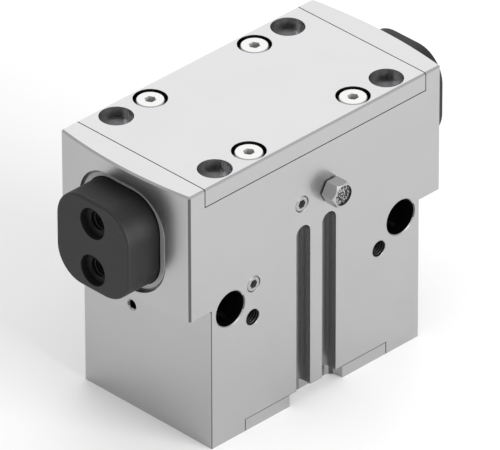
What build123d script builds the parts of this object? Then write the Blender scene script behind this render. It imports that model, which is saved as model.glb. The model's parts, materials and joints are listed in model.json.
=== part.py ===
from build123d import *
import math
import os

# Sealed pneumatic parallel gripper, millimetres, jaws closed.
# Origin: middle of the underside. X runs along the jaw travel, the ports face -Y, +Z is up.

# Housing
height = 87.6
depth = 51.5
head_half_length = 50.0
head_bulge = 2.18
head_height = 41.3
head_overhang = 8.37
edge_chamfer = 0.55
foot_chamfer = 0.2
overhang_fillet = 1.0
hairline = 0.06
joint_groove = 0.16

# Jaw bars and the channel they run in
jaw_width = 29.0
jaw_height = 29.4
jaw_corner = 9.84
jaw_centre_depth = 21.7
jaw_reach = 12.8
jaw_stroke = 8.0
jaw_play = 0.05
jaw_edge_round = 0.7
guide_step_length = 8.0
guide_step_gap = 0.35
guide_top_cut = 3.0
guide_bottom_cut = 2.0

# Screw holes in the outer jaw faces
finger_hole_pitch = 15.44
finger_hole_drop = 0.26
finger_pocket_radius = 4.85
finger_pocket_depth = 2.5
finger_thread_radius = 3.0
finger_thread_depth = 14.0
finger_pocket_chamfer = 0.1

# Wedge with T hooks
wedge_drop = 25.4
wedge_height = 24.5
wedge_top_half = 4.5
wedge_slope = 0.5
wedge_half_width = 8.0
hook_neck = 3.5
hook_flange = 3.5
hook_neck_half = 4.0
hook_flange_half = 7.5
hook_play = 0.06
slope_play = 0.08
jaw_inner_x = 1.0
hook_exit_rise = 7.1
hook_exit_play = 0.1

# Room for the wedge
pocket_half_length = 25.4
pocket_half_width = 10.0
pocket_corner = 2.0
pocket_floor_gap = 0.5

# Cylinder
bore_radius = 18.0
partition_thickness = 8.3
piston_bottom_gap = 0.39
piston_radius = 17.93
piston_nose_radius = 16.6
piston_low_nose = 1.5
piston_high_nose = 1.3
piston_land = 0.65
piston_ring_play = 0.05
seal_width = 2.2
seal_groove_depth = 3.0
magnet_width = 1.8
magnet_groove_depth = 2.4
guide_width = 1.55
guide_groove_depth = 1.8
seal_outer_radius = 17.97
magnet_outer_radius = 17.8
guide_outer_radius = 17.96

# Piston rod, its bush and its seal
rod_radius = 6.0
rod_play = 0.03
rod_seat_depth = 1.5
rod_seat_play = 0.02
rod_spigot_radius = 4.0
rod_spigot_length = 2.9
rod_spigot_room = 0.1
bush_radius = 7.5
bush_length = 4.4
rod_seal_radius = 9.0
rod_seal_rise = 0.9
rod_seal_height = 2.8
clip_rise = 0.05
clip_height = 0.8
clip_inner_radius = 7.6
clip_outer_radius = 9.5
clip_opening = 5.0

# Covers
end_block_length = 6.12
top_cover_thickness = 5.76
bottom_cover_half_length = 28.33
bottom_cover_thickness = 3.91
notch_half_width = 10.64
notch_depth = 4.65
notch_corner = 3.0
cover_cord_radius = 0.62
cover_cord_groove_width = 1.4
cover_cord_groove_depth = 1.3
cover_cord_offset = 2.2
bottom_cord_centre_radius = 19.4

# Upright mounting holes and the top cover's screws
hole_row_y = 19.7
mount_hole_margin = 9.78
mount_hole_radius = 2.75
sink_radius = 5.05
cover_screw_spacing = 13.4
cover_sink_depth = 3.8

# Cross mounting holes through the foot
cross_hole_drop = 22.2
cross_sink_radius = 5.5
cross_sink_depth = 30.0
cross_hole_radius = 3.3
cross_hole_chamfer = 0.3

# Air connections in the front
port_x = 25.3
port_drop = 28.9
thread_radius = 2.5
thread_depth = 7.5
port_chamfer = 0.15
duct_radius = 1.25
duct_end_y = -11.0
duct_overrun = 1.7
riser_radius = 1.1
slant_duct_radius = 1.0
slant_rise = 0.74
duct_wall_low = 1.29
duct_wall_high = 1.8
duct_drill_start = 5.0
ball_radius = 1.5
ball_seat_depth = 3.0
ball_play = 0.02
breather_x = 5.83
upper_plug_x = 5.7
purge_x = 24.9
purge_drop = 18.0
purge_duct_radius = 1.5

# Grooves for the position sensors
sensor_x = 5.15
sensor_radius = 2.8
sensor_depth = 5.35
sensor_top_drop = 10.2

# Blind hole in the left end of the foot
side_hole_y = 6.3
side_hole_drop = 32.0
side_hole_radius = 1.3
side_hole_depth = 6.0
side_hole_chamfer = 0.5

# Openings for the wipers and lip seals in the end faces
wiper_band_side = 2.68
wiper_band_top = 2.45
wiper_corner_growth = 2.96
wiper_thickness = 2.0
wiper_play = 0.04
wiper_jaw_gap = 0.3
wiper_collar_step = 0.6
wiper_collar_height = 1.1
wiper_collar_round = 0.35
lip_cover_wall = 1.37
lip_depth = 3.5
lip_step = 0.6
lip_play = 0.05
lip_body_gap = 0.9
lip_width = 0.9
lip_jaw_gap = 0.05

# Screws
screw_play = 0.03
low_head_radius = 4.25
low_head_height = 3.5
low_head_socket = 3.0
low_head_socket_depth = 2.2
cap_head_height = 5.0
cap_head_socket = 4.0
cap_head_socket_depth = 2.6
head_round = 0.35
screw_tip_chamfer = 0.5
screw_clearance_radius = 2.75
screw_sink_radius = 4.55
cover_screw_length = 12.0
cover_thread_depth = 14.0
wedge_screw_length = 25.0
wedge_sink_depth = 5.5
piston_screw_length = 16.0
piston_sink_depth = 3.8
rod_thread_room = 2.0
plate_screw_x = 22.8
plate_screw_y = 20.0
plate_screw_radius = 2.0
plate_screw_clearance = 2.25
plate_screw_head_radius = 3.9
plate_screw_length = 10.0
plate_screw_socket = 2.5
plate_screw_socket_depth = 1.5
plate_screw_sunk = 0.1
plate_thread_room = 2.0
plug_length = 5.0
plug_socket = 2.5
plug_socket_depth = 2.4
plug_gap = 0.06
plug_chamfer = 0.3

# Breather
breather_flats = 7.1
breather_reach = 5.1
breather_washer_thickness = 0.4
breather_washer_radius = 3.35
breather_shank = 5.0
breather_duct_radius = 1.0
breather_disc_radius = 3.17
breather_disc_thickness = 1.6
breather_disc_recess = 0.2
breather_nose_chamfer = 0.15

# Places that follow from the sizes above: lengths from the middle, then heights from the top down
half_depth = depth / 2
foot_half_length = head_half_length - head_overhang
top_cover_half_length = head_half_length - end_block_length
mount_hole_x = top_cover_half_length - mount_hole_margin
cover_screw_x = mount_hole_x - cover_screw_spacing
lip_inner_x = top_cover_half_length + lip_cover_wall
wiper_inner_x = lip_inner_x + lip_depth
wiper_outer_x = wiper_inner_x + wiper_thickness
guide_step_x = lip_inner_x - guide_step_length
jaw_outer_x = head_half_length + jaw_reach
hook_reach = hook_neck + hook_flange
hook_exit_x = jaw_stroke + hook_exit_play
head_low_z = height - head_height
cover_low_z = height - top_cover_thickness
jaw_centre_z = height - jaw_centre_depth
finger_hole_z = jaw_centre_z - finger_hole_drop
hook_exit_z = jaw_centre_z + hook_exit_rise
sensor_top_z = jaw_centre_z - sensor_top_drop
purge_z = jaw_centre_z - purge_drop
cross_hole_z = jaw_centre_z - cross_hole_drop
port_z = jaw_centre_z - port_drop
side_hole_z = jaw_centre_z - side_hole_drop
wedge_bottom_z = jaw_centre_z - wedge_drop
wedge_top_z = wedge_bottom_z + wedge_height
pocket_floor_z = wedge_bottom_z - pocket_floor_gap
partition_low_z = pocket_floor_z - partition_thickness
rod_seal_low_z = partition_low_z + rod_seal_rise
clip_low_z = partition_low_z + clip_rise
piston_bottom_z = bottom_cover_thickness + piston_bottom_gap
left_duct_wall_z = bottom_cover_thickness + duct_wall_low
right_duct_wall_z = partition_low_z - duct_wall_high
far = 120.0


def block(x_from, x_to, y_from, y_to, z_from, z_to):
    """Box given by its corner coordinates."""
    middle = Pos((x_from + x_to) / 2, (y_from + y_to) / 2, (z_from + z_to) / 2)
    return middle * Box(x_to - x_from, y_to - y_from, z_to - z_from)


def round_z(x, y, radius, z_from, z_to):
    """Upright cylinder."""
    return Pos(x, y, (z_from + z_to) / 2) * Cylinder(radius, z_to - z_from)


def round_y(x, z, radius, y_from, y_to):
    """Cylinder along Y."""
    return Pos(x, (y_from + y_to) / 2, z) * Rot(90, 0, 0) * Cylinder(radius, y_to - y_from)


def round_x(y, z, radius, x_from, x_to):
    """Cylinder along X."""
    return Pos((x_from + x_to) / 2, y, z) * Rot(0, 90, 0) * Cylinder(radius, x_to - x_from)


def ring_z(inner, outer, z_from, z_to):
    """Ring about the upright axis of the cylinder."""
    return round_z(0, 0, outer, z_from, z_to) - round_z(0, 0, inner, z_from - 1, z_to + 1)


def cone_y(x, z, radius, growth, y_face):
    """Chamfer cutter for a hole along Y whose mouth is in the front face at y_face."""
    cutter = Cone(radius + growth, radius, growth)
    return Pos(x, y_face + growth / 2, z) * Rot(-90, 0, 0) * cutter


def rounded_bar(half_width, half_height, corner, x_from, x_to):
    """Bar along X with a rounded rectangular section, centred on the jaws."""
    plane = Plane(origin=(x_from, 0, jaw_centre_z), x_dir=(0, 1, 0), z_dir=(1, 0, 0))
    section = plane * RectangleRounded(2 * half_width, 2 * half_height, corner)
    return extrude(section, amount=x_to - x_from, dir=(1, 0, 0))


def jaw_bar(grow, x_from, x_to):
    """Section of the jaw, made larger all round by grow."""
    return rounded_bar(jaw_width / 2 + grow, jaw_height / 2 + grow, jaw_corner + grow, x_from, x_to)


def guide_bar(grow, x_from, x_to):
    """Inner part of the jaw, flattened above and below."""
    low = jaw_centre_z - jaw_height / 2 + guide_bottom_cut - grow
    high = jaw_centre_z + jaw_height / 2 - guide_top_cut + grow
    return jaw_bar(grow, x_from, x_to) & block(x_from, x_to, -far, far, low, high)


def slope_x(z):
    """Half length of the wedge's core at height z."""
    return wedge_top_half + (wedge_top_z - z) * wedge_slope


def slope_slab(x_near, x_far, half_width, z_from, z_to):
    """Slab that follows the right slope, its faces x_near and x_far out from the core's."""
    corners = [
        (slope_x(z_from) + x_near, z_from),
        (slope_x(z_from) + x_far, z_from),
        (slope_x(z_to) + x_far, z_to),
        (slope_x(z_to) + x_near, z_to),
    ]
    outline = Plane.XZ * make_face(Polyline(*corners, close=True))
    return extrude(outline, amount=half_width, dir=(0, 1, 0), both=True)


def both_sides(solid):
    """The solid and its mirror image on the other side."""
    return [solid, mirror(solid, Plane.YZ)]


def hexagon_prism(flats, length):
    """Hexagonal prism standing on the XY plane."""
    return extrude(RegularPolygon(flats / 2, 6, major_radius=False), amount=length)


def headed_screw(head_radius, head_height, socket, socket_depth, length):
    """Socket screw, its head's underside on the XY plane and its shank pointing down."""
    head = Pos(0, 0, head_height / 2) * Cylinder(head_radius, head_height)
    head = chamfer(head.edges().group_by(Axis.Z)[-1], head_round)
    head -= Pos(0, 0, head_height - socket_depth) * hexagon_prism(socket, socket_depth + 1)
    shank = Pos(0, 0, -length / 2) * Cylinder(thread_radius, length)
    shank = chamfer(shank.edges().group_by(Axis.Z)[0], screw_tip_chamfer)
    return head + shank


def end_face(x_sign):
    """Curved end of the head, from its front edge to its back edge."""
    start = (x_sign * head_half_length, -half_depth)
    middle = (x_sign * (head_half_length + head_bulge), 0)
    end = (x_sign * head_half_length, half_depth)
    return ThreePointArc(start, middle, end)


def outer_body():
    """Housing and top cover as one block, before they are parted."""
    sides = [
        Line((-head_half_length, -half_depth), (head_half_length, -half_depth)),
        end_face(1),
        Line((head_half_length, half_depth), (-head_half_length, half_depth)),
        end_face(-1),
    ]
    plan = make_face(sides)
    head = Pos(0, 0, head_low_z) * extrude(plan, amount=head_height)
    upright = head.edges().filter_by(Axis.Z)
    head = chamfer(upright, edge_chamfer)
    head = chamfer(head.edges().group_by(Axis.Z)[-1], edge_chamfer)
    foot = block(-foot_half_length, foot_half_length, -half_depth, half_depth, 0, head_low_z + 1)
    foot = chamfer(foot.edges().filter_by(Axis.Z), foot_chamfer)
    body = head + foot
    inner_corners = body.edges().filter_by(Axis.Y).filter_by(
        lambda edge: abs(edge.center().Z - head_low_z) < 0.01
        and abs(abs(edge.center().X) - foot_half_length) < 0.01
    )
    return fillet(inner_corners, overhang_fillet)


def top_cover_space(gap):
    """Room of the top cover, with the given gap at its ends."""
    half = top_cover_half_length + gap
    return block(-half, half, -far, far, cover_low_z, height + 1)


def bottom_cover_space(gap):
    """Room of the bottom cover, with the given gap at its ends."""
    half = bottom_cover_half_length + gap
    return block(-half, half, -far, far, -1, bottom_cover_thickness)


def joint_grooves(half_length, joint_z, outer_z, edge_start):
    """Fine V grooves along a cover's joint: across its ends, up its corners and along its edges.

    The edge in the front leaves out its middle, edge_start to each side.
    """
    side = joint_groove * math.sqrt(2)
    lip = half_length + hairline / 2
    rise = abs(outer_z - joint_z)
    edge = Rot(45, 0, 0) * Box(lip - edge_start, side, side)
    grooves = [Pos(0, half_depth, joint_z) * Rot(45, 0, 0) * Box(2 * lip, side, side)]
    for x_sign in (-1, 1):
        x = x_sign * lip
        grooves.append(Pos(x, 0, outer_z) * Rot(0, 45, 0) * Box(side, depth, side))
        grooves.append(Pos(x_sign * (lip + edge_start) / 2, -half_depth, joint_z) * edge)
        for y in (-half_depth, half_depth):
            corner = Rot(0, 0, 45) * Box(side, side, rise)
            grooves.append(Pos(x, y, (outer_z + joint_z) / 2) * corner)
    return grooves


def top_joint_grooves():
    """Grooves along the joint of the top cover."""
    return joint_grooves(top_cover_half_length, cover_low_z, height, 0)


def bottom_joint_grooves():
    """Grooves along the joint of the bottom cover, outside its notch."""
    return joint_grooves(bottom_cover_half_length, bottom_cover_thickness, 0, notch_half_width)


def sensor_grooves():
    """Round-bottomed grooves that end in a ball at the top."""
    floor_y = -half_depth + sensor_depth - sensor_radius
    grooves = []
    for x in (-sensor_x, sensor_x):
        groove = round_z(x, floor_y, sensor_radius, -1, sensor_top_z)
        groove += block(x - sensor_radius, x + sensor_radius, -far, floor_y, -1, sensor_top_z)
        groove += Pos(x, floor_y, sensor_top_z) * Sphere(sensor_radius)
        groove += round_y(x, sensor_top_z, sensor_radius, -far, floor_y)
        grooves.append(groove)
    return grooves


def slant_duct(x, wall_z):
    """Oblique air hole drilled through the mouth of the bore to the end of a port."""
    reach = math.hypot(x, duct_end_y)
    rise = (reach - bore_radius) * slant_rise
    start_reach = bore_radius - duct_drill_start
    start = Vector(
        x / reach * start_reach,
        duct_end_y / reach * start_reach,
        wall_z - duct_drill_start * slant_rise,
    )
    end = Vector(x, duct_end_y, wall_z + rise)
    path = end - start
    plane = Plane(origin=start, z_dir=path.normalized())
    return extrude(plane * Circle(slant_duct_radius), amount=path.length)


def wiper_space(shrink, x_from, x_to):
    """Room of a wiper frame, made smaller all round by shrink."""
    half_width = jaw_width / 2 + wiper_band_side - shrink
    half_height = jaw_height / 2 + wiper_band_top - shrink
    corner = jaw_corner + wiper_corner_growth - shrink
    return rounded_bar(half_width, half_height, corner, x_from, x_to)


def end_openings():
    """Stepped opening for a wiper and a lip seal in the right end."""
    wiper = wiper_space(0, wiper_inner_x, far)
    lip = wiper_space(lip_step, lip_inner_x, wiper_inner_x + 1)
    return wiper + lip


def pocket(z_from, z_to):
    """Room of the wedge between the given heights."""
    plan = RectangleRounded(2 * pocket_half_length, 2 * pocket_half_width, pocket_corner)
    return Pos(0, 0, z_from) * extrude(plan, amount=z_to - z_from)


def make_housing():
    """Body with its channel, cylinder, holes and grooves."""
    body = outer_body() - top_cover_space(hairline) - bottom_cover_space(hairline)
    channel_half = guide_step_x - guide_step_gap
    body -= guide_bar(jaw_play, -channel_half, channel_half)
    for channel_end in both_sides(jaw_bar(jaw_play, channel_half, far)):
        body -= channel_end
    for opening in both_sides(end_openings()):
        body -= opening
    body -= pocket(pocket_floor_z, cover_low_z + 1)
    body -= round_z(0, 0, bore_radius, 0, partition_low_z)
    body -= round_z(0, 0, bush_radius, rod_seal_low_z, pocket_floor_z + 1)
    body -= round_z(0, 0, rod_seal_radius, 0, rod_seal_low_z + rod_seal_height)
    body -= round_z(0, 0, clip_outer_radius, 0, clip_low_z + clip_height)
    for groove in sensor_grooves() + top_joint_grooves() + bottom_joint_grooves():
        body -= groove
    for x in (-mount_hole_x, mount_hole_x):
        for y in (-hole_row_y, hole_row_y):
            body -= round_z(x, y, mount_hole_radius, -1, height)
        body -= round_y(x, cross_hole_z, cross_sink_radius, -far, -half_depth + cross_sink_depth)
        body -= round_y(x, cross_hole_z, cross_hole_radius, -far, far)
        body -= cone_y(x, cross_hole_z, cross_sink_radius, cross_hole_chamfer, -half_depth)
    for x in (-cover_screw_x, cover_screw_x):
        for y in (-hole_row_y, hole_row_y):
            low = cover_low_z - cover_thread_depth
            body -= round_z(x, y, thread_radius + screw_play, low, height)
    for x in (-plate_screw_x, plate_screw_x):
        for y in (-plate_screw_y, plate_screw_y):
            high = plate_screw_sunk + plate_screw_length + plate_thread_room
            body -= round_z(x, y, plate_screw_radius + screw_play, 0, high)
    threaded = [(-port_x, port_z), (port_x, port_z), (-purge_x, purge_z)]
    threaded += [(-upper_plug_x, jaw_centre_z), (breather_x, jaw_centre_z)]
    for x, z in threaded:
        body -= round_y(x, z, thread_radius, -far, -half_depth + thread_depth)
        body -= cone_y(x, z, thread_radius, port_chamfer, -half_depth)
    for x in (-port_x, port_x):
        body -= round_y(x, port_z, duct_radius, -half_depth, duct_end_y + duct_overrun)
        wall_z = left_duct_wall_z if x < 0 else right_duct_wall_z
        body -= slant_duct(x, wall_z)
    body -= round_z(-port_x, duct_end_y, riser_radius, 0, port_z)
    seat_top = bottom_cover_thickness + ball_seat_depth
    body -= round_z(-port_x, duct_end_y, ball_radius + ball_play, 0, seat_top)
    body -= round_y(-purge_x, purge_z, purge_duct_radius, -half_depth, -pocket_half_width + 1)
    for x in (-upper_plug_x, breather_x):
        body -= round_y(x, jaw_centre_z, purge_duct_radius, -half_depth, -jaw_width / 2 + 1)
    body -= round_x(side_hole_y, side_hole_z, side_hole_radius, -far, -foot_half_length + side_hole_depth)
    mouth = Cone(side_hole_radius, side_hole_radius + side_hole_chamfer, side_hole_chamfer)
    mouth_x = -foot_half_length + side_hole_chamfer / 2
    body -= Pos(mouth_x, side_hole_y, side_hole_z) * Rot(0, -90, 0) * mouth
    return body


def cord_track(half_length, half_width, corner, radius, z):
    """Round cord that follows a rounded rectangle at height z."""
    path = Pos(0, 0, z) * RectangleRounded(2 * half_length, 2 * half_width, corner)
    wire = path.faces()[0].outer_wire()
    section = Plane(origin=wire @ 0, z_dir=wire % 0) * Circle(radius)
    return sweep(section, path=wire)


def cord_size():
    """Half length, half width and corner of the cord under the top cover."""
    half_length = pocket_half_length + cover_cord_offset
    half_width = pocket_half_width + cover_cord_offset
    return half_length, half_width, pocket_corner + cover_cord_offset


def make_top_cover():
    """Plate in the top, with its cord groove, screw sinks and mounting holes."""
    cover = outer_body() & top_cover_space(0)
    half_length, half_width, corner = cord_size()
    edge = cover_cord_groove_width / 2
    outer = RectangleRounded(2 * (half_length + edge), 2 * (half_width + edge), corner + edge)
    inner = RectangleRounded(2 * (half_length - edge), 2 * (half_width - edge), corner - edge)
    cover -= Pos(0, 0, cover_low_z) * extrude(outer - inner, amount=cover_cord_groove_depth)
    for groove in top_joint_grooves():
        cover -= groove
    for y in (-hole_row_y, hole_row_y):
        for x in (-mount_hole_x, mount_hole_x):
            cover -= round_z(x, y, sink_radius, 0, height + 1)
        for x in (-cover_screw_x, cover_screw_x):
            cover -= round_z(x, y, screw_clearance_radius, 0, height + 1)
            cover -= round_z(x, y, sink_radius, height - cover_sink_depth, height + 1)
    return cover


def make_cover_screws():
    """Four low-head screws that hold the top cover."""
    screw = headed_screw(
        low_head_radius, low_head_height, low_head_socket, low_head_socket_depth, cover_screw_length
    )
    places = []
    for x in (-cover_screw_x, cover_screw_x):
        for y in (-hole_row_y, hole_row_y):
            places.append(Pos(x, y, height - cover_sink_depth) * screw)
    return places


def make_bottom_cover():
    """Plate in the underside, notched where the sensor grooves run out."""
    half = bottom_cover_half_length
    plate = block(-half, half, -half_depth, half_depth, 0, bottom_cover_thickness)
    notch_plan = RectangleRounded(2 * notch_half_width, 2 * notch_depth, notch_corner)
    notch = Pos(0, -half_depth, -1) * extrude(notch_plan, amount=far)
    plate -= notch
    for groove in sensor_grooves() + bottom_joint_grooves():
        plate -= groove
    groove_edge = cover_cord_groove_width / 2
    plate -= ring_z(
        bottom_cord_centre_radius - groove_edge,
        bottom_cord_centre_radius + groove_edge,
        bottom_cover_thickness - cover_cord_groove_depth,
        bottom_cover_thickness + 1,
    )
    for x in (-plate_screw_x, plate_screw_x):
        for y in (-plate_screw_y, plate_screw_y):
            plate -= round_z(x, y, plate_screw_clearance, -1, far)
            sink = plate_screw_head_radius + screw_play - plate_screw_clearance
            funnel = Cone(plate_screw_head_radius + screw_play, plate_screw_clearance, sink)
            plate -= Pos(x, y, plate_screw_sunk + sink / 2) * funnel
            plate -= round_z(x, y, plate_screw_head_radius + screw_play, -1, plate_screw_sunk)
    return plate


def make_plate_screws():
    """Four countersunk screws, heads down."""
    slant = plate_screw_head_radius - plate_screw_radius
    head = Pos(0, 0, slant / 2) * Cone(plate_screw_head_radius, plate_screw_radius, slant)
    shank = Cylinder(plate_screw_radius, plate_screw_length)
    shank = chamfer(shank.edges().group_by(Axis.Z)[-1], screw_tip_chamfer)
    screw = head + Pos(0, 0, plate_screw_length / 2) * shank
    screw -= Pos(0, 0, -1) * hexagon_prism(plate_screw_socket, plate_screw_socket_depth + 1)
    places = []
    for x in (-plate_screw_x, plate_screw_x):
        for y in (-plate_screw_y, plate_screw_y):
            places.append(Pos(x, y, plate_screw_sunk) * screw)
    return places


def make_wiper():
    """Frame in the right end face, its rounded collar close around the jaw."""
    collar = wiper_space(wiper_collar_step, wiper_inner_x, wiper_outer_x)
    collar = fillet(collar.edges().group_by(Axis.X)[-1], wiper_collar_round)
    flange = wiper_space(wiper_play, wiper_inner_x, wiper_outer_x - wiper_collar_height)
    return collar + flange - jaw_bar(wiper_jaw_gap, 0, far)


def make_lip_seal():
    """Rubber frame behind the wiper, with a lip that runs on the jaw."""
    seal = wiper_space(lip_step + lip_play, lip_inner_x + lip_play, wiper_inner_x)
    seal -= jaw_bar(lip_body_gap, 0, wiper_inner_x - lip_width)
    return seal - jaw_bar(lip_jaw_gap, 0, far)


def piston_levels():
    """Heights of the piston's grooves, from the bottom up."""
    seal_low = piston_bottom_z + piston_low_nose + piston_land
    magnet_low = seal_low + seal_width + piston_land
    guide_low = magnet_low + magnet_width + piston_land
    high_nose_low = guide_low + guide_width + piston_land
    return seal_low, magnet_low, guide_low, high_nose_low


def piston_top_z():
    """Top face of the piston."""
    return piston_levels()[3] + piston_high_nose


def make_piston():
    """Piston with three ring grooves and a nose at each end."""
    seal_low, magnet_low, guide_low, high_nose_low = piston_levels()
    top = piston_top_z()
    low_nose_top = piston_bottom_z + piston_low_nose
    body = round_z(0, 0, piston_nose_radius, piston_bottom_z, top)
    body += round_z(0, 0, piston_radius, low_nose_top, high_nose_low)
    grooves = [
        (seal_low, seal_width, seal_groove_depth),
        (magnet_low, magnet_width, magnet_groove_depth),
        (guide_low, guide_width, guide_groove_depth),
    ]
    for low, width, groove_depth in grooves:
        body -= ring_z(piston_radius - groove_depth, far, low, low + width)
    body -= round_z(0, 0, rod_radius + rod_seat_play, top - rod_seat_depth, far)
    body -= round_z(0, 0, screw_clearance_radius, 0, far)
    body -= round_z(0, 0, screw_sink_radius, 0, piston_bottom_z + piston_sink_depth)
    return body


def piston_ring(low, width, groove_depth, outer):
    """Ring that sits in a groove of the piston."""
    inner = piston_radius - groove_depth + piston_ring_play
    return ring_z(inner, outer, low + piston_ring_play, low + width - piston_ring_play)


def make_piston_seal():
    """Piston seal with a lip towards each chamber."""
    low = piston_levels()[0]
    seal = piston_ring(low, seal_width, seal_groove_depth, seal_outer_radius)
    waist = seal_width / 5
    middle = low + seal_width / 2
    return seal - ring_z(seal_outer_radius - waist, far, middle - waist / 2, middle + waist / 2)


def make_rod():
    """Rod with a spigot for the wedge and a thread at each end."""
    bottom = piston_top_z() - rod_seat_depth
    rod = round_z(0, 0, rod_radius, bottom, wedge_bottom_z)
    rod += round_z(0, 0, rod_spigot_radius - rod_seat_play, wedge_bottom_z, wedge_bottom_z + rod_spigot_length)
    low_thread_top = piston_bottom_z + piston_sink_depth + piston_screw_length + rod_thread_room
    high_thread_low = wedge_top_z - wedge_sink_depth - wedge_screw_length - rod_thread_room
    rod -= round_z(0, 0, thread_radius + screw_play, 0, low_thread_top)
    rod -= round_z(0, 0, thread_radius + screw_play, high_thread_low, far)
    return rod


def make_wedge():
    """A-shaped wedge, with a T hook that follows each slope."""
    core_half = slope_x(wedge_bottom_z)
    corners = [
        (-core_half, wedge_bottom_z),
        (core_half, wedge_bottom_z),
        (wedge_top_half, wedge_top_z),
        (-wedge_top_half, wedge_top_z),
    ]
    outline = Plane.XZ * make_face(Polyline(*corners, close=True))
    wedge = extrude(outline, amount=wedge_half_width, dir=(0, 1, 0), both=True)
    neck = slope_slab(-1, hook_neck + 1, hook_neck_half, wedge_bottom_z, wedge_top_z)
    flange = slope_slab(hook_neck, hook_reach, hook_flange_half, wedge_bottom_z, wedge_top_z)
    for side in both_sides(neck + flange):
        wedge += side
    wedge -= round_z(0, 0, screw_clearance_radius, 0, far)
    wedge -= round_z(0, 0, screw_sink_radius, wedge_top_z - wedge_sink_depth, far)
    seat_top = wedge_bottom_z + rod_spigot_length + rod_spigot_room
    wedge -= round_z(0, 0, rod_spigot_radius, 0, seat_top)
    return wedge


def make_jaw():
    """Right jaw: sealed bar outside, flattened guide inside, T slot along the slope."""
    bar = jaw_bar(0, guide_step_x, jaw_outer_x)
    bar = fillet(bar.edges().group_by(Axis.X)[-1], jaw_edge_round)
    jaw = bar + guide_bar(0, jaw_inner_x, guide_step_x)
    low_z = pocket_floor_z
    jaw -= slope_slab(-far, slope_play, far, low_z, height)
    jaw -= slope_slab(-1, hook_neck + 1, hook_neck_half + hook_play, low_z, height)
    jaw -= slope_slab(
        hook_neck - slope_play,
        hook_reach + slope_play,
        hook_flange_half + hook_play,
        low_z,
        height,
    )
    exit_half = hook_flange_half + hook_play
    jaw -= block(0, hook_exit_x, -exit_half, exit_half, hook_exit_z, height)
    for z in (finger_hole_z - finger_hole_pitch / 2, finger_hole_z + finger_hole_pitch / 2):
        pocket_x = jaw_outer_x - finger_pocket_depth
        jaw -= round_x(0, z, finger_pocket_radius, pocket_x, far)
        jaw -= round_x(0, z, finger_thread_radius, pocket_x - finger_thread_depth, far)
        mouth = Cone(finger_pocket_radius, finger_pocket_radius + finger_pocket_chamfer, finger_pocket_chamfer)
        jaw -= Pos(jaw_outer_x - finger_pocket_chamfer / 2, 0, z) * Rot(0, 90, 0) * mouth
    return jaw


def make_plugs():
    """Set screws flush with the front in the two unused air connections."""
    plug = Cylinder(thread_radius - plug_gap, plug_length)
    plug = chamfer(plug.edges().group_by(Axis.Z)[-1], plug_chamfer)
    socket = hexagon_prism(plug_socket, plug_socket_depth + 1)
    plug -= Pos(0, 0, plug_length / 2 - plug_socket_depth) * socket
    middle_y = -half_depth + plug_length / 2
    places = [(-purge_x, purge_z), (-upper_plug_x, jaw_centre_z)]
    return [Pos(x, middle_y, z) * Rot(90, 0, 0) * plug for x, z in places]


def make_breather():
    """Hexagonal body, sintered disc and washer of the breather."""
    hexagon_low = breather_washer_thickness
    hexagon = Pos(0, 0, hexagon_low) * hexagon_prism(breather_flats, breather_reach - hexagon_low)
    nose = Cone(far + breather_flats / 2, breather_flats / 2 - breather_nose_chamfer, far + breather_nose_chamfer)
    hexagon &= Pos(0, 0, breather_reach - (far + breather_nose_chamfer) / 2) * nose
    shank = Pos(0, 0, hexagon_low - (breather_shank + hexagon_low) / 2)
    body = hexagon + shank * Cylinder(thread_radius - plug_gap, breather_shank + hexagon_low)
    body -= Cylinder(breather_duct_radius, far)
    disc_top = breather_reach - breather_disc_recess
    disc_low = disc_top - breather_disc_thickness
    cup_radius = breather_disc_radius + screw_play
    body -= Pos(0, 0, disc_low + far / 2) * Cylinder(cup_radius, far)
    disc = Pos(0, 0, (disc_low + disc_top) / 2) * Cylinder(breather_disc_radius, breather_disc_thickness)
    washer = Cylinder(breather_washer_radius, breather_washer_thickness)
    washer -= Cylinder(thread_radius + screw_play, far)
    washer = Pos(0, 0, breather_washer_thickness / 2) * washer
    seat = Pos(breather_x, -half_depth, jaw_centre_z) * Rot(90, 0, 0)
    return seat * body, seat * disc, seat * washer


def make_clip():
    """Open spring ring that keeps the rod seal in."""
    ring = ring_z(clip_inner_radius, clip_outer_radius - ball_play, clip_low_z, clip_low_z + clip_height)
    return ring - block(0, far, -clip_opening / 2, clip_opening / 2, 0, far)


def save(name, *solids):
    """Write the solids of one piece."""
    shape = solids[0] if len(solids) == 1 else Compound(children=list(solids))
    export_step(shape, "parts/" + name + ".step")


os.makedirs("parts", exist_ok=True)

save("housing", make_housing())
save("top_cover", make_top_cover())
save("cover_screws", *make_cover_screws())
half_length, half_width, corner = cord_size()
cord_z = cover_low_z + cover_cord_groove_depth / 2
save("cover_seal", cord_track(half_length, half_width, corner, cover_cord_radius, cord_z))
save("bottom_cover", make_bottom_cover())
save("bottom_cover_screws", *make_plate_screws())
bottom_cord_z = bottom_cover_thickness - cover_cord_groove_depth / 2
save("bottom_cover_seal", Pos(0, 0, bottom_cord_z) * Torus(bottom_cord_centre_radius, cover_cord_radius))

right_wiper, left_wiper = both_sides(make_wiper())
save("right_scraper_ring", right_wiper)
save("left_scraper_ring", left_wiper)
right_lip, left_lip = both_sides(make_lip_seal())
save("right_jaw_seal", right_lip)
save("left_jaw_seal", left_lip)

save("front_plugs", *make_plugs())
breather_body, breather_disc, breather_washer = make_breather()
save("vent_body", breather_body)
save("vent_disc", breather_disc)
save("vent_washer", breather_washer)
ball_z = bottom_cover_thickness + ball_seat_depth / 2
save("duct_ball", Pos(-port_x, duct_end_y, ball_z) * Sphere(ball_radius))

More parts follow.
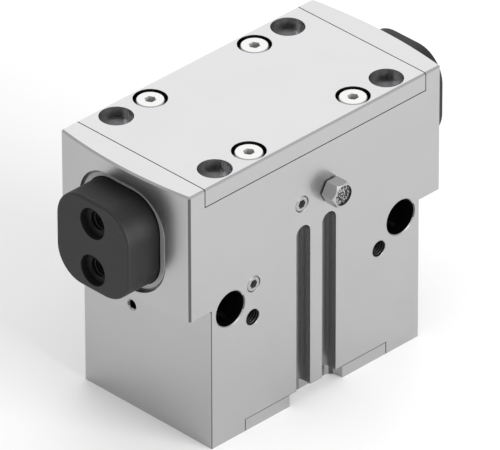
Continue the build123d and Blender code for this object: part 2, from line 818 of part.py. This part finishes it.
bush_low_z = pocket_floor_z - bush_length
bush_outer = bush_radius - rod_seat_play
save("rod_bush", ring_z(rod_radius + rod_play, bush_outer, bush_low_z, pocket_floor_z))
rod_seal_inner = rod_radius + rod_play
rod_seal_outer = rod_seal_radius - piston_ring_play
rod_seal_top_z = rod_seal_low_z + rod_seal_height - piston_ring_play
save("rod_seal", ring_z(rod_seal_inner, rod_seal_outer, rod_seal_low_z, rod_seal_top_z))
save("seal_retaining_ring", make_clip())

seal_low, magnet_low, guide_low, nose_low = piston_levels()
save("piston", make_piston())
save("piston_seal", make_piston_seal())
save("piston_magnet", piston_ring(magnet_low, magnet_width, magnet_groove_depth, magnet_outer_radius))
save("piston_guide_ring", piston_ring(guide_low, guide_width, guide_groove_depth, guide_outer_radius))
piston_screw = headed_screw(
    low_head_radius, low_head_height, low_head_socket, low_head_socket_depth, piston_screw_length
)
save("piston_screw", Pos(0, 0, piston_bottom_z + piston_sink_depth) * Rot(180, 0, 0) * piston_screw)
save("piston_rod", make_rod())
save("wedge_hook", make_wedge())
wedge_screw = headed_screw(
    low_head_radius, cap_head_height, cap_head_socket, cap_head_socket_depth, wedge_screw_length
)
save("wedge_hook_screw", Pos(0, 0, wedge_top_z - wedge_sink_depth) * wedge_screw)

right_jaw, left_jaw = both_sides(make_jaw())
save("right_jaw", right_jaw)
save("left_jaw", left_jaw)
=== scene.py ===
import json
import math

import bpy
import numpy as np
from mathutils import Matrix, Vector


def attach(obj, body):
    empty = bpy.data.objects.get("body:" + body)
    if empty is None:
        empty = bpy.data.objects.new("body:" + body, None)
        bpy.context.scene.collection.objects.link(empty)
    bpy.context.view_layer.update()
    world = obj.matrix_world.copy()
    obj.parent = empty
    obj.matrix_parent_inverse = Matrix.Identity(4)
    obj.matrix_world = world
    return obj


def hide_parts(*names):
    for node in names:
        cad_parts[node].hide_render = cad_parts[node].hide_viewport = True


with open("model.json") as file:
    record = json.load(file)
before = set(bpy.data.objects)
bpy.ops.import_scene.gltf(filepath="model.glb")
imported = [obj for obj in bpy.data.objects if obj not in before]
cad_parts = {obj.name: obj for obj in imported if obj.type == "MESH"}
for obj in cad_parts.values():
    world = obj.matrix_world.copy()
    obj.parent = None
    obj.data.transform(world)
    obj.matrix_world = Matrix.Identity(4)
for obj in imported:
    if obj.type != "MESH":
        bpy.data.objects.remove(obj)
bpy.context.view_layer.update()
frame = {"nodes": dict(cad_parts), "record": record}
nodes = frame["nodes"]
mm = 0.001
print("frame loaded:", len(nodes), "solids' nodes")


# Camera

# Azimuth 0 looks along +Y. The two offsets slide the view sideways and up, all in mm and degrees.
cameraView = {
    "azimuth": 44.754,
    "elevation": 32.482,
    "roll": 0.127,
    "right": -0.663,
    "up": 34.832,
    "distance": 3063.06,
    "focalPixels": 10698.3,
    "opticalCentre": (249.9, 235.5),
    "photoSize": (500, 450),
    "sensor": 36.0,
}


def placeCamera(view):
    a = math.radians(view["azimuth"])
    e = math.radians(view["elevation"])
    right = Vector((math.cos(a), -math.sin(a), 0))
    up = Vector((math.sin(e) * math.sin(a), math.sin(e) * math.cos(a), math.cos(e)))
    back = right.cross(up)
    turn = Matrix((right, up, back)).transposed().to_4x4()
    turn = turn @ Matrix.Rotation(math.radians(view["roll"]), 4, "Z").inverted()
    place = turn @ Vector((view["right"], view["up"], view["distance"])) * mm
    width, height = view["photoSize"]
    centreX, centreY = view["opticalCentre"]
    camera = bpy.data.cameras.new("photoCamera")
    camera.sensor_width = view["sensor"]
    camera.lens = view["focalPixels"] * view["sensor"] / width
    camera.shift_x = (width / 2 - centreX) / width
    camera.shift_y = (centreY - height / 2) / width
    camera.clip_end = 50
    holder = bpy.data.objects.new("photoCamera", camera)
    holder.matrix_world = Matrix.Translation(place) @ turn
    bpy.context.scene.collection.objects.link(holder)
    bpy.context.scene.camera = holder


placeCamera(cameraView)
print("camera placed")


# Light

# Softboxes: place, aim and size in metres, power in watts.
studio = {
    "skyColour": "#FFFFFF",
    "skyStrength": 0.74,
    "floorColour": "#FAFAFA",
    "floorRoughness": 0.9,
    "floorSize": 12.0,
    "aim": (0, 0, 0.05),
    "toneCurve": "Standard",
    "softboxes": [
        {"name": "overhead", "place": (0.15, 0.1, 1.3), "size": 1.3, "power": 1.8},
        {"name": "backRight", "place": (0.9, 0.9, 0.9), "size": 1.0, "power": 3.35},
        {"name": "frontLow", "place": (0.2, -1.2, 0.4), "size": 0.8, "power": 15.0},
    ],
}


def linearColour(hexColour):
    # sRGB hex to linear: the low part of the curve is a straight line, the rest a power of 2.4
    digits = hexColour.lstrip("#")
    channels = [int(digits[i:i + 2], 16) / 255 for i in (0, 2, 4)]
    curved = [c / 12.92 if c <= 0.04045 else ((c + 0.055) / 1.055) ** 2.4 for c in channels]
    return (*curved, 1.0)


def addNode(tree, kind, inputs=None, **settings):
    # One node with its settings. An input goes by name or number, and is a value or an output to link.
    node = tree.nodes.new(kind)
    for name, value in settings.items():
        setattr(node, name, value)
    for name, value in (inputs or {}).items():
        if isinstance(value, bpy.types.NodeSocket):
            tree.links.new(value, node.inputs[name])
        else:
            node.inputs[name].default_value = value
    return node


def hangSoftbox(box, target):
    lamp = bpy.data.lights.new(box["name"], "AREA")
    lamp.shape = "SQUARE"
    lamp.size = box["size"]
    lamp.energy = box["power"]
    holder = bpy.data.objects.new(box["name"], lamp)
    place = Vector(box["place"])
    aim = Vector(target) - place
    holder.matrix_world = Matrix.Translation(place) @ aim.to_track_quat("-Z", "Y").to_matrix().to_4x4()
    bpy.context.scene.collection.objects.link(holder)


def layFloor(studio):
    half = studio["floorSize"] / 2
    corners = [(-half, -half, 0), (half, -half, 0), (half, half, 0), (-half, half, 0)]
    sheet = bpy.data.meshes.new("floor")
    sheet.from_pydata(corners, [], [(0, 1, 2, 3)])
    paper = bpy.data.materials.new("studioPaper")
    paper.use_nodes = True
    shader = paper.node_tree.nodes["Principled BSDF"]
    shader.inputs["Base Color"].default_value = linearColour(studio["floorColour"])
    shader.inputs["Roughness"].default_value = studio["floorRoughness"]
    sheet.materials.append(paper)
    floor = bpy.data.objects.new("floor", sheet)
    bpy.context.scene.collection.objects.link(floor)


def lightStudio(studio):
    world = bpy.data.worlds.new("studio")
    world.use_nodes = True
    sky = world.node_tree.nodes["Background"]
    sky.inputs["Color"].default_value = linearColour(studio["skyColour"])
    sky.inputs["Strength"].default_value = studio["skyStrength"]
    bpy.context.scene.world = world
    bpy.context.scene.view_settings.view_transform = studio["toneCurve"]
    for box in studio["softboxes"]:
        hangSoftbox(box, studio["aim"])
    layFloor(studio)


lightStudio(studio)
print("studio lit")


# Finishes

def newFinish(name, colour, metallic, roughness):
    finish = bpy.data.materials.new(name)
    finish.use_nodes = True
    tree = finish.node_tree
    shader = tree.nodes["Principled BSDF"]
    shader.inputs["Base Color"].default_value = linearColour(colour)
    shader.inputs["Metallic"].default_value = metallic
    shader.inputs["Roughness"].default_value = roughness
    place = addNode(tree, "ShaderNodeTexCoord").outputs["Object"]
    return finish, tree, shader, place


def perMetre(sizeMm):
    # A noise of scale 1 has bumps about one unit long, so a bump of sizeMm needs 1000 / sizeMm
    return 1000 / sizeMm


noiseSpan = (0.3, 0.7)  # nearly all values of the noise lie in it


# Anodised aluminium: milled, fine-blasted, then anodised, so it mirrors what is near it, such as the black
# jaws, as a soft shade. Bores, port threads, slots and the chamfers of the upright edges get painted shade,
# darker tones for the shade in them, and the top sinks painted light, a lighter tone; the joints get a dark
# tone of their own. All these tones were judged from the photo. The boxes round them are in mm, as middle
# and half size, and are mirrored across X and Y.
anodised = {
    "dark": "#B1B1B2",
    "light": "#B6B6B7",
    "metallic": 1.0,
    "roughness": (0.28, 0.31),
    "blastGrain": 0.25,
    "patch": 18.0,
    "blastDepth": 0.0012,
    # Painted shade: a darker tone on the chamfers of the upright edges
    "uprightEdgeShade": "#646465",
    "uprightEdgeShadeLimit": 0.46,
    # Painted shade: a darker tone inside the bores and the screw sinks
    "boreShade": {
        "tone": "#5A5A5B",
        "boxes": [
            ((34.1, 12.7, 43.7), (5.5, 12.7, 5.5)),
            ((38.0, 6.3, 33.9), (3.3, 1.3, 1.3)),
            ((20.7, 19.7, 84.6), (5.05, 5.05, 2.95)),
        ],
    },
    # Painted shade: a darker tone on the port threads
    "threads": {"tone": "#3E3E3F", "boxes": [((25.3, 12.8, 37.0), (2.5, 12.8, 2.5))]},
    # Painted light: a lighter tone inside the top sinks
    "sinkLight": {"tone": "#BEBEBF", "boxes": [((34.1, 19.7, 84.6), (5.05, 5.05, 2.95))]},
    # Painted shade: a darker tone inside the slots
    "slotShade": {"tone": "#8E8E8F", "boxes": [((5.15, 22.8, 29.3), (2.85, 2.8, 29.25))]},
    "joints": {
        "tone": "#484849",
        "boxes": [
            ((43.89, 12.95, 84.9), (0.17, 13.0, 2.9)),
            ((21.9, 25.75, 81.84), (22.2, 0.18, 0.17)),
            ((28.35, 12.95, 2.0), (0.17, 13.0, 2.1)),
        ],
    },
    "faintJoints": {"tone": "#828283", "boxes": [((14.2, 25.75, 3.91), (14.3, 0.18, 0.17))]},
}


def insideBoxes(tree, place, boxes):
    # 1 inside any of the boxes: there the largest distance past the half sizes is below nothing
    inMm = addNode(tree, "ShaderNodeVectorMath", {0: place, "Scale": 1 / mm}, operation="SCALE").outputs[0]
    mirrored = addNode(tree, "ShaderNodeVectorMath", {0: inMm}, operation="ABSOLUTE").outputs[0]
    nearest = None
    for middle, half in boxes:
        inputs = {0: mirrored, 1: middle}
        offset = addNode(tree, "ShaderNodeVectorMath", inputs, operation="SUBTRACT").outputs[0]
        distance = addNode(tree, "ShaderNodeVectorMath", {0: offset}, operation="ABSOLUTE").outputs[0]
        inputs = {0: distance, 1: half}
        past = addNode(tree, "ShaderNodeVectorMath", inputs, operation="SUBTRACT").outputs[0]
        x, y, z = addNode(tree, "ShaderNodeSeparateXYZ", {0: past}).outputs
        flat = addNode(tree, "ShaderNodeMath", {0: x, 1: y}, operation="MAXIMUM").outputs[0]
        most = addNode(tree, "ShaderNodeMath", {0: flat, 1: z}, operation="MAXIMUM").outputs[0]
        if nearest is not None:
            inputs = {0: nearest, 1: most}
            most = addNode(tree, "ShaderNodeMath", inputs, operation="MINIMUM").outputs[0]
        nearest = most
    return addNode(tree, "ShaderNodeMath", {0: nearest, 1: 0.0}, operation="LESS_THAN").outputs[0]


def uprightEdgeShadeMask(tree, limit):
    # 1 where a face looks out at 45 degrees between X and Y, as the chamfers of the upright edges do:
    # there the product of the normal's x and y is a half. This is where the edges' painted shade goes.
    normal = addNode(tree, "ShaderNodeNewGeometry").outputs["True Normal"]
    x, y, z = addNode(tree, "ShaderNodeSeparateXYZ", {0: normal}).outputs
    product = addNode(tree, "ShaderNodeMath", {0: x, 1: y}, operation="MULTIPLY").outputs[0]
    size = addNode(tree, "ShaderNodeMath", {0: product}, operation="ABSOLUTE").outputs[0]
    return addNode(tree, "ShaderNodeMath", {0: size, 1: limit}, operation="GREATER_THAN").outputs[0]


def grainOn(tree, shader, place, grain):
    # Grain of one size drives gloss and relief: the noise's span covers the range of roughness
    inputs = {"Vector": place, "Scale": perMetre(grain["size"]), "Detail": 3.0, "Roughness": 0.5}
    fine = addNode(tree, "ShaderNodeTexNoise", inputs).outputs["Fac"]
    noiseLow, noiseHigh = noiseSpan
    low, high = grain["roughness"]
    inputs = {"Value": fine, "From Min": noiseLow, "From Max": noiseHigh, "To Min": low, "To Max": high}
    rough = addNode(tree, "ShaderNodeMapRange", inputs).outputs["Result"]
    tree.links.new(rough, shader.inputs["Roughness"])
    inputs = {"Height": fine, "Distance": grain["depth"] * mm, "Strength": 1.0}
    relief = addNode(tree, "ShaderNodeBump", inputs).outputs["Normal"]
    tree.links.new(relief, shader.inputs["Normal"])
    return fine


def anodisedAluminium(name, look):
    finish, tree, shader, place = newFinish(name, look["light"], look["metallic"], look["roughness"][1])
    inputs = {"Vector": place, "Scale": perMetre(look["patch"]), "Detail": 2.0}
    patches = addNode(tree, "ShaderNodeTexNoise", inputs).outputs["Fac"]
    tones = {0: patches, 6: linearColour(look["dark"]), 7: linearColour(look["light"])}
    colour = addNode(tree, "ShaderNodeMix", tones, data_type="RGBA").outputs[2]
    # Painted shade on the chamfers of the upright edges
    edgeShade = uprightEdgeShadeMask(tree, look["uprightEdgeShadeLimit"])
    tones = {0: edgeShade, 6: colour, 7: linearColour(look["uprightEdgeShade"])}
    colour = addNode(tree, "ShaderNodeMix", tones, data_type="RGBA").outputs[2]
    # Painted shade in bores, threads and slots, painted light in the sinks, then the dark joint lines
    for group in ("boreShade", "threads", "sinkLight", "slotShade", "joints", "faintJoints"):
        inside = insideBoxes(tree, place, look[group]["boxes"])
        tones = {0: inside, 6: colour, 7: linearColour(look[group]["tone"])}
        colour = addNode(tree, "ShaderNodeMix", tones, data_type="RGBA").outputs[2]
    tree.links.new(colour, shader.inputs["Base Color"])
    grain = {"size": look["blastGrain"], "roughness": look["roughness"], "depth": look["blastDepth"]}
    grainOn(tree, shader, place, grain)
    return finish


# Blackened steel: hardened, ground and chemically blackened, dark with a silky sheen. The sides, whose
# normal's x stays under the limit, get painted shade, a darker tone than the face, and so do the screw
# holes.
blackened = {
    "dark": "#202020",
    "light": "#262626",
    # Painted shade: the sides get a darker tone than the face, the screw holes a darker one still
    "sideShade": "#181818",
    "sideShadeLimit": 0.4,
    "holes": {
        "tone": "#0E0E0E",
        "boxes": [((54.0, 0.0, 57.92), (14.0, 3.1, 3.1)), ((54.0, 0.0, 73.36), (14.0, 3.1, 3.1))],
    },
    "metallic": 0.25,
    "roughness": (0.50, 0.60),
    "grindWidth": 0.3,
    "grindLength": 6.0,
    "grindDepth": 0.002,
}


def blackenedSteel(name, look):
    finish, tree, shader, place = newFinish(name, look["light"], look["metallic"], look["roughness"][1])
    stretch = (1.0, look["grindWidth"] / look["grindLength"], 1.0)
    along = addNode(tree, "ShaderNodeMapping", {"Vector": place, "Scale": stretch}).outputs["Vector"]
    grain = {"size": look["grindWidth"], "roughness": look["roughness"], "depth": look["grindDepth"]}
    scratches = grainOn(tree, shader, along, grain)
    tones = {0: scratches, 6: linearColour(look["dark"]), 7: linearColour(look["light"])}
    colour = addNode(tree, "ShaderNodeMix", tones, data_type="RGBA").outputs[2]
    # Painted shade on the sides: darker where the normal's x is small
    normal = addNode(tree, "ShaderNodeNewGeometry").outputs["True Normal"]
    size = addNode(tree, "ShaderNodeVectorMath", {0: normal}, operation="ABSOLUTE").outputs[0]
    x = addNode(tree, "ShaderNodeSeparateXYZ", {0: size}).outputs[0]
    inputs = {"Value": x, "From Min": 0.0, "From Max": look["sideShadeLimit"], "To Min": 1.0, "To Max": 0.0}
    sideShadeMask = addNode(tree, "ShaderNodeMapRange", inputs).outputs["Result"]
    tones = {0: sideShadeMask, 6: colour, 7: linearColour(look["sideShade"])}
    colour = addNode(tree, "ShaderNodeMix", tones, data_type="RGBA").outputs[2]
    # Painted shade in the screw holes
    inside = insideBoxes(tree, place, look["holes"]["boxes"])
    tones = {0: inside, 6: colour, 7: linearColour(look["holes"]["tone"])}
    colour = addNode(tree, "ShaderNodeMix", tones, data_type="RGBA").outputs[2]
    tree.links.new(colour, shader.inputs["Base Color"])
    return finish


# Other metals: plated, turned or polished, each with its own grain in mm. Those with a value for metallic
# are dulled by their plating.
metals = {
    "platedScrewSteel": {"dark": "#BEBEBD", "light": "#C4C4C3", "roughness": (0.22, 0.32), "grain": 0.4},
    "plainSetScrewSteel": {"dark": "#A4A4A5", "light": "#AAAAAB", "roughness": (0.30, 0.40), "grain": 0.3},
    "satinScraperMetal": {
        "dark": "#A4A4A5", "light": "#ACACAD", "roughness": (0.40, 0.50), "grain": 0.3, "metallic": 0.35,
    },
    "nickelPlatedSteel": {
        "dark": "#A8A8A8", "light": "#ADADAD", "roughness": (0.30, 0.36), "grain": 0.6, "metallic": 0.6,
    },
    "polishedBallSteel": {"dark": "#C4C5C6", "light": "#CDCECF", "roughness": (0.05, 0.09), "grain": 0.8},
    "bearingBronze": {"dark": "#B08D57", "light": "#BF9C66", "roughness": (0.30, 0.42), "grain": 0.3},
    "phosphatedSpringSteel": {
        "dark": "#3A3B3C", "light": "#474849", "roughness": (0.45, 0.6), "grain": 0.2,
    },
    "turnedAluminium": {"dark": "#C6C8CA", "light": "#D4D6D8", "roughness": (0.22, 0.34), "grain": 0.2},
    "chromedRodSteel": {"dark": "#CFD0D2", "light": "#D8D9DB", "roughness": (0.07, 0.12), "grain": 0.6},
    "groundWedgeSteel": {"dark": "#9FA1A4", "light": "#B2B4B7", "roughness": (0.20, 0.34), "grain": 0.25},
}
grainDepth = 0.002


# The screws' sockets and the breather's cup get painted shade inside, a dull, darker tone for the shade in
# them, judged from the photo. Boxes in mm, as for the aluminium. Those of the cup follow its round wall and
# stay inside the hexagon.
socketShades = {
    "platedScrewSteel": {"tone": "#A8A8A8", "boxes": [((20.7, 19.7, 85.6), (1.9, 1.9, 1.62))]},
    "plainSetScrewSteel": {
        "tone": "#606060",
        "boxes": [((24.9, 24.3, 47.9), (1.5, 1.38, 1.5)), ((5.7, 24.3, 65.9), (1.5, 1.38, 1.5))],
    },
    "nickelPlatedSteel": {
        "tone": "#2C2C2C",
        "boxes": [
            ((5.83, 28.8, 65.9), (3.3, 1.95, 1.35)),
            ((5.83, 28.8, 65.9), (3.0, 1.95, 1.9)),
            ((5.83, 28.8, 65.9), (2.65, 1.95, 2.5)),
            ((5.83, 28.8, 65.9), (2.0, 1.95, 3.0)),
            ((5.83, 28.8, 65.9), (1.35, 1.95, 3.3)),
        ],
    },
}


def finishedMetal(name, look):
    metallic = look.get("metallic", 1.0)
    finish, tree, shader, place = newFinish(name, look["light"], metallic, look["roughness"][1])
    grain = {"size": look["grain"], "roughness": look["roughness"], "depth": grainDepth}
    fine = grainOn(tree, shader, place, grain)
    tones = {0: fine, 6: linearColour(look["dark"]), 7: linearColour(look["light"])}
    colour = addNode(tree, "ShaderNodeMix", tones, data_type="RGBA").outputs[2]
    # Painted shade in the sockets and the cup: a darker tone, without metal
    if name in socketShades:
        socketShadeMask = insideBoxes(tree, place, socketShades[name]["boxes"])
        tones = {0: socketShadeMask, 6: colour, 7: linearColour(socketShades[name]["tone"])}
        colour = addNode(tree, "ShaderNodeMix", tones, data_type="RGBA").outputs[2]
        inputs = {0: socketShadeMask, 1: -metallic, 2: metallic}
        bare = addNode(tree, "ShaderNodeMath", inputs, operation="MULTIPLY_ADD").outputs[0]
        tree.links.new(bare, shader.inputs["Metallic"])
    tree.links.new(colour, shader.inputs["Base Color"])
    return finish


# Sintered steel: fused grains with dark pores between them
sintered = {
    "pore": "#2A2A2A",
    "grain": "#B4B4B4",
    "grainSize": 0.5,
    "grainEdge": (0.25, 0.6),
    "metallic": 0.6,
    "roughness": 0.42,
    "depth": 0.03,
}


def sinteredSteel(name, look):
    finish, tree, shader, place = newFinish(name, look["grain"], look["metallic"], look["roughness"])
    inputs = {"Vector": place, "Scale": perMetre(look["grainSize"])}
    away = addNode(tree, "ShaderNodeTexVoronoi", inputs).outputs["Distance"]
    full, none = look["grainEdge"]
    inputs = {"Value": away, "From Min": full, "From Max": none, "To Min": 1.0, "To Max": 0.0}
    grains = addNode(tree, "ShaderNodeMapRange", inputs).outputs["Result"]
    tones = {0: grains, 6: linearColour(look["pore"]), 7: linearColour(look["grain"])}
    colour = addNode(tree, "ShaderNodeMix", tones, data_type="RGBA").outputs[2]
    tree.links.new(colour, shader.inputs["Base Color"])
    inputs = {"Height": grains, "Distance": look["depth"] * mm, "Strength": 1.0}
    relief = addNode(tree, "ShaderNodeBump", inputs).outputs["Normal"]
    tree.links.new(relief, shader.inputs["Normal"])
    return finish


# Rubber and plastics: moulded, matt, with a very fine skin
mouldings = {
    "mouldedNitrileRubber": {
        "dark": "#1B1B1C", "light": "#242425", "roughness": (0.58, 0.66), "skin": 0.15,
    },
    "washerRubber": {"dark": "#202021", "light": "#2A2A2B", "roughness": (0.54, 0.62), "skin": 0.15},
    "bondedMagnet": {"dark": "#3B3835", "light": "#4A4642", "roughness": (0.51, 0.59), "skin": 0.2},
    "filledGuidePlastic": {"dark": "#55504A", "light": "#625C54", "roughness": (0.44, 0.52), "skin": 0.3},
}
skinDepth = 0.004


def moulded(name, look):
    finish, tree, shader, place = newFinish(name, look["light"], 0.0, look["roughness"][1])
    grain = {"size": look["skin"], "roughness": look["roughness"], "depth": skinDepth}
    fine = grainOn(tree, shader, place, grain)
    tones = {0: fine, 6: linearColour(look["dark"]), 7: linearColour(look["light"])}
    colour = addNode(tree, "ShaderNodeMix", tones, data_type="RGBA").outputs[2]
    tree.links.new(colour, shader.inputs["Base Color"])
    return finish


finishOfSlot = {
    "body_aluminium": anodisedAluminium("anodisedAluminium", anodised),
    "cover_aluminium": anodisedAluminium("anodisedCoverAluminium", anodised),
    "jaw_steel": blackenedSteel("blackenedSteel", blackened),
    "screw_steel": finishedMetal("platedScrewSteel", metals["platedScrewSteel"]),
    "plug_steel": finishedMetal("plainSetScrewSteel", metals["plainSetScrewSteel"]),
    "scraper_metal": finishedMetal("satinScraperMetal", metals["satinScraperMetal"]),
    "breather_metal": finishedMetal("nickelPlatedSteel", metals["nickelPlatedSteel"]),
    "ball_steel": finishedMetal("polishedBallSteel", metals["polishedBallSteel"]),
    "bush_bronze": finishedMetal("bearingBronze", metals["bearingBronze"]),
    "spring_steel": finishedMetal("phosphatedSpringSteel", metals["phosphatedSpringSteel"]),
    "piston_aluminium": finishedMetal("turnedAluminium", metals["turnedAluminium"]),
    "rod_steel": finishedMetal("chromedRodSteel", metals["chromedRodSteel"]),
    "wedge_steel": finishedMetal("groundWedgeSteel", metals["groundWedgeSteel"]),
    "sintered_metal": sinteredSteel("sinteredSteel", sintered),
    "seal_rubber": moulded("mouldedNitrileRubber", mouldings["mouldedNitrileRubber"]),
    "washer_rubber": moulded("washerRubber", mouldings["washerRubber"]),
    "magnet_compound": moulded("bondedMagnet", mouldings["bondedMagnet"]),
    "guide_plastic": moulded("filledGuidePlastic", mouldings["filledGuidePlastic"]),
}
slotOfNode = {row["node"]: row["material_slot"] for row in frame["record"]["subparts"]}
for name, node in nodes.items():
    node.data.materials.clear()
    node.data.materials.append(finishOfSlot[slotOfNode[name]])
print("finishes made:", len(finishOfSlot))


# Meshes from grids

def gridFaces(rows, columns, closedRows, closedColumns):
    # Quads between neighbouring points of a grid, joined at the seams that are closed
    rowStarts = np.arange(rows if closedRows else rows - 1)
    columnStarts = np.arange(columns if closedColumns else columns - 1)
    r, c = np.meshgrid(rowStarts, columnStarts, indexing="ij")
    nextR = (r + 1) % rows
    nextC = (c + 1) % columns
    corners = [r * columns + c, nextR * columns + c, nextR * columns + nextC, r * columns + nextC]
    return np.stack([corner.ravel() for corner in corners], axis=1)


def meshPiece(name, points, faces, finish, body, caps=()):
    # A smooth piece from points in metres, with flat caps given as rings of point numbers
    mesh = bpy.data.meshes.new(name)
    everyFace = [tuple(face) for face in faces.tolist()] + [tuple(ring) for ring in caps]
    mesh.from_pydata(points.tolist(), [], everyFace)
    mesh.materials.append(finish)
    mesh.polygons.foreach_set("use_smooth", np.ones(len(everyFace), dtype=bool))
    mesh.update()
    piece = bpy.data.objects.new(name, mesh)
    bpy.context.scene.collection.objects.link(piece)
    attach(piece, body)
    return piece


def sideAxes(axis):
    # Two directions square to the axis, right-handed with it
    along = np.array(axis, dtype=float)
    first = np.array((0.0, 0.0, 1.0)) if abs(along[2]) < 0.5 else np.array((1.0, 0.0, 0.0))
    second = np.cross(along, first)
    return along, first, second


# Threads

# Each thread: mouth of its hole in mm, direction into the hole, root radius, depth of the ridge,
# pitch and length, all those of the standard coarse threads M5 and M6. In the profile, half the base and
# half the crest are shares of the pitch, and the run-out is in turns.
threads = {
    "portThreads": [
        {"name": "leftPortThread", "mouth": (-25.3, -25.45, 37.0), "into": (0, 1, 0), "body": "body"},
        {"name": "rightPortThread", "mouth": (25.3, -25.45, 37.0), "into": (0, 1, 0), "body": "body"},
    ],
    "portSize": {"root": 2.49, "ridge": 0.40, "pitch": 0.8, "length": 6.8},
    "fingerSize": {"root": 2.99, "ridge": 0.46, "pitch": 1.0, "length": 11.0},
    "profile": {"base": 0.46, "crest": 0.08, "runOut": 0.5, "segments": 36},
    "fingerHeights": (57.92, 73.36),
    "fingerStart": 60.2,
}


def threadRidge(place, size, profile, finish):
    # A ridge of triangular section carried along a helix: angle grows with the turn number, depth
    # with the pitch. The ridge grows from nothing over the first half turn and dies out over the last.
    turns = size["length"] / size["pitch"] - 1
    steps = int(turns * profile["segments"]) + 1
    turn = np.linspace(0, turns, steps)
    swell = np.clip(np.minimum(turn, turns - turn) / profile["runOut"], 0.02, 1)
    angle = 2 * np.pi * turn
    depth = turn * size["pitch"]
    halfBase = profile["base"] * size["pitch"]
    halfCrest = profile["crest"] * size["pitch"]
    sectionDepth = np.array([-halfBase, -halfCrest, halfCrest, halfBase]) + halfBase
    sectionRise = np.array([0.0, 1.0, 1.0, 0.0])
    radius = size["root"] - size["ridge"] * swell[:, None] * sectionRise[None, :]
    along, first, second = sideAxes(place["into"])
    way = depth[:, None] + sectionDepth[None, :]
    points = (
        np.array(place["mouth"])
        + way[..., None] * along
        + (radius * np.cos(angle)[:, None])[..., None] * first
        + (radius * np.sin(angle)[:, None])[..., None] * second
    )
    columns = len(sectionRise)
    faces = gridFaces(steps, columns, False, True)
    firstRing = list(range(columns))
    lastRing = [(steps - 1) * columns + i for i in reversed(range(columns))]
    flat = points.reshape(-1, 3) * mm
    ends = (firstRing, lastRing)
    meshPiece(place["name"], flat, faces[:, ::-1], finish, place["body"], ends)


def cutThreads(threads):
    profile = threads["profile"]
    for place in threads["portThreads"]:
        threadRidge(place, threads["portSize"], profile, finishOfSlot["body_aluminium"])
    for side, sign in (("left", -1), ("right", 1)):
        for level, height in zip(("Lower", "Upper"), threads["fingerHeights"]):
            place = {
                "name": side + level + "FingerThread",
                "mouth": (sign * threads["fingerStart"], 0.0, height),
                "into": (-sign, 0, 0),
                "body": side + "_jaw",
            }
            threadRidge(place, threads["fingerSize"], profile, finishOfSlot["jaw_steel"])


cutThreads(threads)
print("threads cut")


# Breather disc

# In mm. The balls stand in rows: spacing in grain radii, row step in spacings, both with a random share.
disc = {
    "centre": (5.83, -30.15, 65.9),
    "radius": 3.15,
    "thickness": 1.05,
    "grain": 0.42,
    "grainRise": 0.16,
    "spacing": 1.55,
    "rowStep": 0.87,
    "scatter": 0.16,
    "lift": 0.05,
    "rim": 0.03,
    "hub": 0.02,
    "rings": 44,
    "segments": 120,
    "seed": 5,
}


def sinteredDisc(disc):
    # Disc on a grid of rings and spokes. Its front follows fused balls: at each point the height is
    # that of the nearest ball, the root of grain squared less distance squared.
    drawn = np.random.default_rng(disc["seed"])
    spacing = disc["grain"] * disc["spacing"]
    count = int(2 * disc["radius"] / spacing) + 2
    steps = np.arange(-count, count + 1)
    rows, columns = np.meshgrid(steps, steps, indexing="ij")
    staggered = (columns + 0.5 * (rows % 2)) * spacing
    centres = np.stack([staggered, rows * spacing * disc["rowStep"]], axis=-1).reshape(-1, 2)
    centres += drawn.uniform(-disc["scatter"], disc["scatter"], centres.shape) * spacing
    lifts = drawn.uniform(-disc["lift"], disc["lift"], len(centres))
    ring = np.linspace(disc["hub"], 1, disc["rings"])
    angle = np.linspace(0, 2 * np.pi, disc["segments"], endpoint=False)
    reach, turn = np.meshgrid(ring * disc["radius"], angle, indexing="ij")
    across = np.stack([reach * np.cos(turn), reach * np.sin(turn)], axis=-1)
    apart = np.linalg.norm(across[..., None, :] - centres, axis=-1)
    balls = np.sqrt(np.clip(disc["grain"] ** 2 - apart ** 2, 0, None)) + lifts
    front = balls.max(axis=-1) / disc["grain"] * disc["grainRise"]
    front = np.minimum(front, disc["grainRise"]) * np.clip((1 - ring) / disc["rim"], 0, 1)[:, None]
    depthFront = disc["grainRise"] - front
    wall = np.full((1, disc["segments"]), disc["thickness"])
    everyReach = np.concatenate([reach, reach[-1:], reach[-1:] * disc["hub"]])
    everyTurn = np.concatenate([turn, turn[-1:], turn[-1:]])
    everyDepth = np.concatenate([depthFront, wall, wall])
    cx, cy, cz = disc["centre"]
    points = np.stack(
        [cx + everyReach * np.cos(everyTurn), cy + everyDepth, cz + everyReach * np.sin(everyTurn)], axis=-1
    )
    ringCount = len(everyReach)
    faces = gridFaces(ringCount, disc["segments"], False, True)
    firstRing = list(reversed(range(disc["segments"])))
    lastRing = [(ringCount - 1) * disc["segments"] + i for i in range(disc["segments"])]
    piece = meshPiece(
        "sinteredDisc",
        points.reshape(-1, 3) * mm,
        faces,
        finishOfSlot["sintered_metal"],
        "body",
        (firstRing, lastRing),
    )
    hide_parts("vent_disc")


sinteredDisc(disc)
print("breather disc made")
